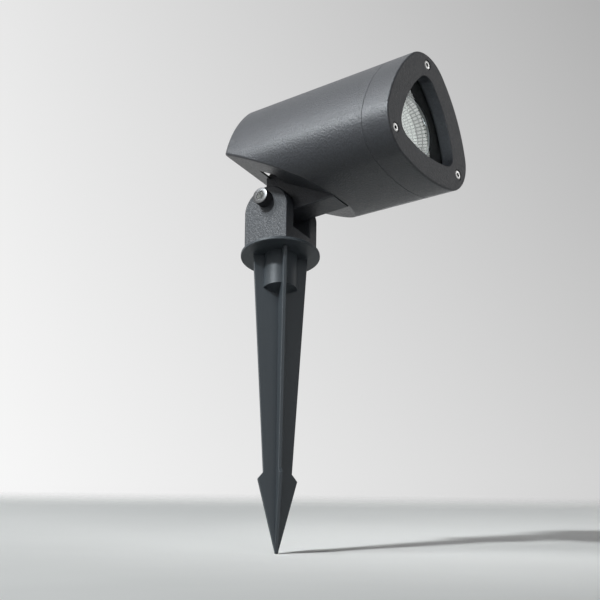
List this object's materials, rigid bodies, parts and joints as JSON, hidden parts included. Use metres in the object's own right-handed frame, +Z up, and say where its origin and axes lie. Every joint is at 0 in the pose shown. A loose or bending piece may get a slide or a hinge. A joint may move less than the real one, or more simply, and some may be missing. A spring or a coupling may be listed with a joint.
{
  "type": "garden spike spotlight",
  "caption": "Die-cast garden spotlight with a rounded triangular head that tilts in a forked bracket, on a barbed four-blade ground spike.",
  "frame": {"origin": "on the spike's axis at the underside of its flange, the ground line", "axes": "+X the way the beam points at rest, +Y along the tilt pin, +Z up along the spike"},
  "size_m": [0.1623, 0.1096, 0.3859],
  "materials": {
    "spike_plastic": "moulded anthracite plastic, fine grain",
    "powder_coat": "die-cast aluminium with anthracite powder coat",
    "stainless": "stainless steel, turned",
    "brass_insert": "machined brass",
    "friction_washer": "black nylon",
    "seal_rubber": "black silicone",
    "clear_glass": "clear tempered glass",
    "baffle_black": "matt black paint",
    "lamp_reflector": "vapour-coated pressed glass with facets",
    "lamp_glass": "clear glass",
    "lamp_ceramic": "white steatite",
    "terminal_plastic": "white moulded plastic",
    "zinc_steel": "zinc-plated steel",
    "lead_sleeve": "silicone sleeve",
    "earth_sleeve": "green and yellow sleeve",
    "gland_plastic": "black nylon"
  },
  "bodies": {
    "stake": {"ground_spike": "spike_plastic", "spike_insert": "brass_insert", "swivel_washer": "stainless", "swivel_bolt": "stainless"},
    "bracket": {"fork_bracket": "powder_coat", "tilt_shims": "friction_washer", "tilt_bolt": "stainless", "tilt_washer": "stainless", "tilt_nut": "stainless"},
    "head": {"housing": "powder_coat", "front_cap": "powder_coat", "cap_screws": "stainless", "cap_seal": "seal_rubber", "glass_seal": "seal_rubber", "lens_glass": "clear_glass", "baffle_ring": "baffle_black", "baffle_screws": "zinc_steel", "lamp_bowl": "lamp_reflector", "lamp_cover": "lamp_glass", "lamp_burner": "lamp_glass", "lamp_base": "lamp_ceramic", "lamp_pins": "zinc_steel", "lampholder": "lamp_ceramic", "holder_bracket": "zinc_steel", "holder_screws": "zinc_steel", "bracket_screws": "zinc_steel", "terminal_block": "terminal_plastic", "terminal_screws": "zinc_steel", "earth_tag": "zinc_steel", "earth_screw": "zinc_steel", "live_lead": "lead_sleeve", "neutral_lead": "lead_sleeve", "earth_lead": "earth_sleeve", "gland_body": "gland_plastic", "gland_nut": "gland_plastic", "gland_dome": "gland_plastic", "gland_seal": "seal_rubber"}
  },
  "joints": [
    {"name": "bracket_swivel", "type": "hinge", "parent": "stake", "child": "bracket", "pos_m": [0, 0, 0.0025], "axis": [0, 0, 1], "continuous": true},
    {"name": "head_tilt", "type": "hinge", "parent": "bracket", "child": "head", "pos_m": [0, 0, 0.0405], "axis": [0, -1, 0], "range_deg": [-30, 90]}
  ]
}
